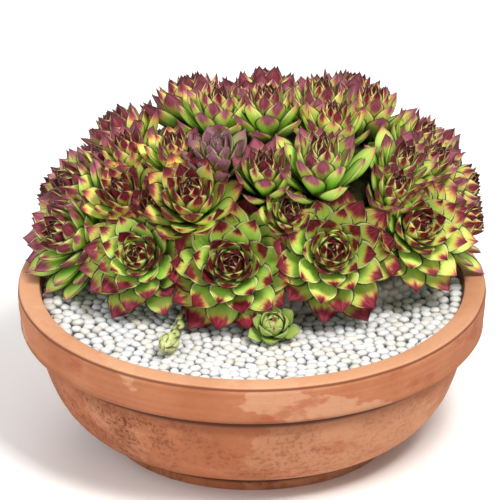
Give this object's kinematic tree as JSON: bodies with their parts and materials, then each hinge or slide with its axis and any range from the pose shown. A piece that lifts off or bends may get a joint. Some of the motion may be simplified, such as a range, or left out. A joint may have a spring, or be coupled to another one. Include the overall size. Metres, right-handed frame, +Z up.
{
  "type": "potted succulent",
  "caption": "Hens and chicks planting: a dome of red-tipped Sempervivum rosettes in a wide terracotta bowl topped with white gravel, with young chicks in front.",
  "frame": {"origin": "centre of the bowl's foot, on the surface that it stands on", "axes": "+Z up; -Y towards the front, where the gravel and the chicks are; +X to the right seen from the front"},
  "size_m": [0.3, 0.3, 0.2292],
  "materials": {
    "terracotta": "matte",
    "potting_soil": "matte",
    "white_gravel": "matte",
    "hen_leaf": "satin",
    "chick_leaf": "satin",
    "bud_scale": "satin"
  },
  "bodies": {
    "root": {"bowl": "terracotta", "soil": "potting_soil", "gravel": "white_gravel", "hen_front_left": "hen_leaf", "hen_front_right": "hen_leaf", "hen_left": "hen_leaf", "hen_right": "hen_leaf", "hen_far_left": "hen_leaf", "hen_shoulder_left": "hen_leaf", "young_mid_outer_left": "hen_leaf", "young_nook_left": "hen_leaf", "hen_mid_left": "hen_leaf", "young_mid_centre": "hen_leaf", "young_nook_centre": "hen_leaf", "hen_mid_right": "hen_leaf", "young_nook_right": "hen_leaf", "hen_shoulder_right": "hen_leaf", "young_crown_right": "hen_leaf", "hen_high_right": "hen_leaf", "hen_end_right": "hen_leaf", "hen_crown_left": "hen_leaf", "hen_top_left": "hen_leaf", "young_top_left": "hen_leaf", "young_top_front": "hen_leaf", "hen_top_back_left": "hen_leaf", "young_top_middle": "hen_leaf", "hen_top_back": "hen_leaf", "young_top_inner": "hen_leaf", "hen_top_right": "hen_leaf", "young_top_far_right": "hen_leaf", "hen_back_right": "hen_leaf", "hen_back": "hen_leaf", "hen_back_left": "hen_leaf", "hen_back_far_left": "hen_leaf", "hen_end_left": "hen_leaf", "young_back_high_left": "hen_leaf", "young_back_high_inner": "hen_leaf", "young_back_high": "hen_leaf", "young_back_high_right": "hen_leaf", "chick_on_gravel": "chick_leaf", "chick_bud_on_runner": "bud_scale"}
  },
  "joints": []
}
